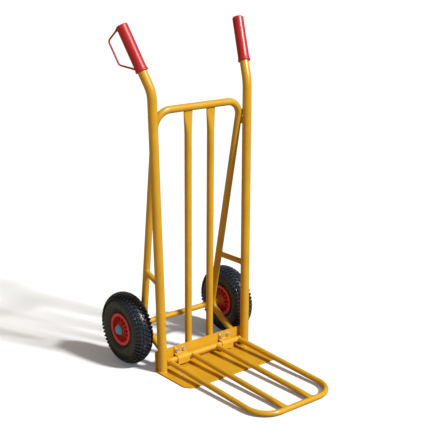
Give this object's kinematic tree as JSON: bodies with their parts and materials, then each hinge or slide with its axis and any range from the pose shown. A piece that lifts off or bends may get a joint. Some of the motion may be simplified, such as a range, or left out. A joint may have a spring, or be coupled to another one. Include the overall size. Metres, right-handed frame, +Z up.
{
  "type": "hand truck",
  "caption": "Tubular steel hand truck with a toe plate, a folding tube nose hinged above it, two air-filled wheels on one axle, and guarded plastic grips.",
  "frame": {"origin": "on the floor, under the middle of the footprint, with the nose down", "axes": "+X to the truck's right as seen from the load side, -Y towards the load and the nose, +Y towards the wheels and the operator, +Z up"},
  "size_m": [0.5612, 0.7875, 1.1966],
  "materials": {
    "yellow_paint": "satin gloss",
    "red_grip": "glossy",
    "red_rim": "satin",
    "blue_cap": "satin",
    "zinc": "zinc plated",
    "bearing_steel": "ground",
    "tyre": "matte",
    "tube_rubber": "matte"
  },
  "bodies": {
    "frame": {"rear_hoop": "yellow_paint", "toe_plate": "yellow_paint", "axle": "yellow_paint", "left_upright": "yellow_paint", "left_grip": "red_grip", "left_centre_bar": "yellow_paint", "left_strut": "yellow_paint", "left_hinge_clip": "yellow_paint", "left_inner_hinge_bolt": "zinc", "left_inner_hinge_nut": "zinc", "left_outer_hinge_bolt": "zinc", "left_outer_hinge_nut": "zinc", "left_axle_spacer": "yellow_paint", "right_upright": "yellow_paint", "right_grip": "red_grip", "right_centre_bar": "yellow_paint", "right_strut": "yellow_paint", "right_hinge_clip": "yellow_paint", "right_inner_hinge_bolt": "zinc", "right_inner_hinge_nut": "zinc", "right_outer_hinge_bolt": "zinc", "right_outer_hinge_nut": "zinc", "right_axle_spacer": "yellow_paint"},
    "nose": {"hinge_tube": "yellow_paint", "nose_hoop": "yellow_paint", "left_nose_bar": "yellow_paint", "right_nose_bar": "yellow_paint"},
    "left_wheel": {"left_tyre": "tyre", "left_inner_tube": "tube_rubber", "left_rim": "red_rim", "left_valve_stem": "tube_rubber", "left_outer_bearing": "bearing_steel", "left_inner_bearing": "bearing_steel", "left_outer_washer": "zinc", "left_inner_washer": "zinc", "left_axle_cap": "blue_cap"},
    "right_wheel": {"right_tyre": "tyre", "right_inner_tube": "tube_rubber", "right_rim": "red_rim", "right_valve_stem": "tube_rubber", "right_outer_bearing": "bearing_steel", "right_inner_bearing": "bearing_steel", "right_outer_washer": "zinc", "right_inner_washer": "zinc", "right_axle_cap": "blue_cap"}
  },
  "joints": [
    {"name": "nose_fold", "type": "hinge", "parent": "frame", "child": "nose", "pos_m": [0, 0.11235, 0.0326], "axis": [-1, 0, 0], "range_deg": [0, 90]},
    {"name": "left_wheel_spin", "type": "hinge", "parent": "frame", "child": "left_wheel", "pos_m": [-0.2285, 0.26375, 0.13], "axis": [1, 0, 0], "continuous": true},
    {"name": "right_wheel_spin", "type": "hinge", "parent": "frame", "child": "right_wheel", "pos_m": [0.2285, 0.26375, 0.13], "axis": [1, 0, 0], "continuous": true}
  ]
}
